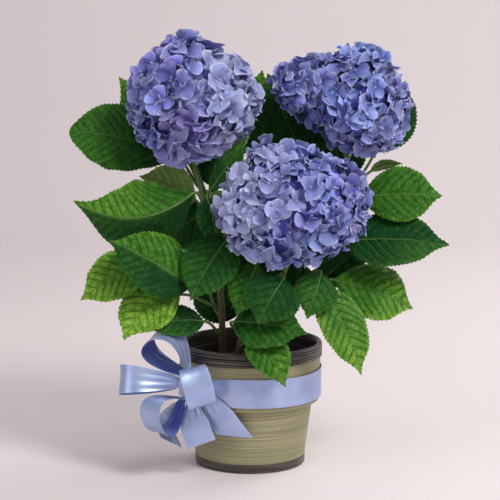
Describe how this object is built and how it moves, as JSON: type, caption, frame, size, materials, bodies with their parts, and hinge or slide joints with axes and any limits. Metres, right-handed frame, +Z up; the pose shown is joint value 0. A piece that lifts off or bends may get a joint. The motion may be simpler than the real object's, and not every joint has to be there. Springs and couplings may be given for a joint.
{
  "type": "potted hydrangea",
  "caption": "Blue-violet mophead hydrangea with broad serrated leaves, in a khaki glazed ceramic cover pot tied with a pale blue satin ribbon and bow.",
  "frame": {"origin": "centre of the cover pot's flat underside", "axes": "+Z up through the pot; the front, with the bow to its left, faces -Y; +X to the viewer's right"},
  "size_m": [0.416, 0.295, 0.4727],
  "materials": {
    "glaze": "satin",
    "grow_plastic": "matte",
    "soil": "matte",
    "stem": "matte",
    "sepals": "matte",
    "leaf": "satin",
    "ribbon": "satin"
  },
  "bodies": {
    "root": {"ceramic_pot": "glaze", "grow_pot": "grow_plastic", "root_ball": "soil", "stem_left": "stem", "stem_front": "stem", "stem_right": "stem", "flower_head_left": "sepals", "flower_head_right": "sepals", "flower_head_front": "sepals", "leaf_left_top": "leaf", "leaf_left_crown": "leaf", "leaf_left_mid": "leaf", "leaf_left_under": "leaf", "leaf_left_curl": "leaf", "leaf_left_outer": "leaf", "leaf_left_low": "leaf", "leaf_left_bottom": "leaf", "leaf_left_rim": "leaf", "leaf_centre_left": "leaf", "leaf_front_hang": "leaf", "leaf_front_right": "leaf", "leaf_front_low": "leaf", "leaf_front_rim": "leaf", "leaf_right_droop": "leaf", "leaf_right_low": "leaf", "leaf_right_mid": "leaf", "leaf_right_upper": "leaf", "leaf_right_small": "leaf", "leaf_right_crown": "leaf", "leaf_back_centre": "leaf", "leaf_back_left": "leaf", "leaf_back_right": "leaf", "leaf_back_high": "leaf", "leaf_back_low_left": "leaf", "leaf_back_low_mid": "leaf", "leaf_back_low_right": "leaf", "leaf_left_inner": "leaf", "leaf_left_shade": "leaf", "leaf_centre_inner": "leaf", "leaf_centre_bright": "leaf", "leaf_low_inner": "leaf", "leaf_right_inner": "leaf", "leaf_front_inner": "leaf", "leaf_right_shade": "leaf", "leaf_back_top": "leaf", "leaf_back_mid": "leaf", "leaf_back_inner": "leaf", "leaf_left_dark": "leaf", "leaf_centre_dark": "leaf", "leaf_left_hang": "leaf", "ribbon_band": "ribbon", "bow_knot": "ribbon", "bow_loop_upper": "ribbon", "bow_loop_left": "ribbon", "bow_loop_lower": "ribbon", "bow_loop_front": "ribbon", "bow_tail_left": "ribbon", "bow_tail_middle": "ribbon", "bow_tail_right": "ribbon"}
  },
  "joints": []
}
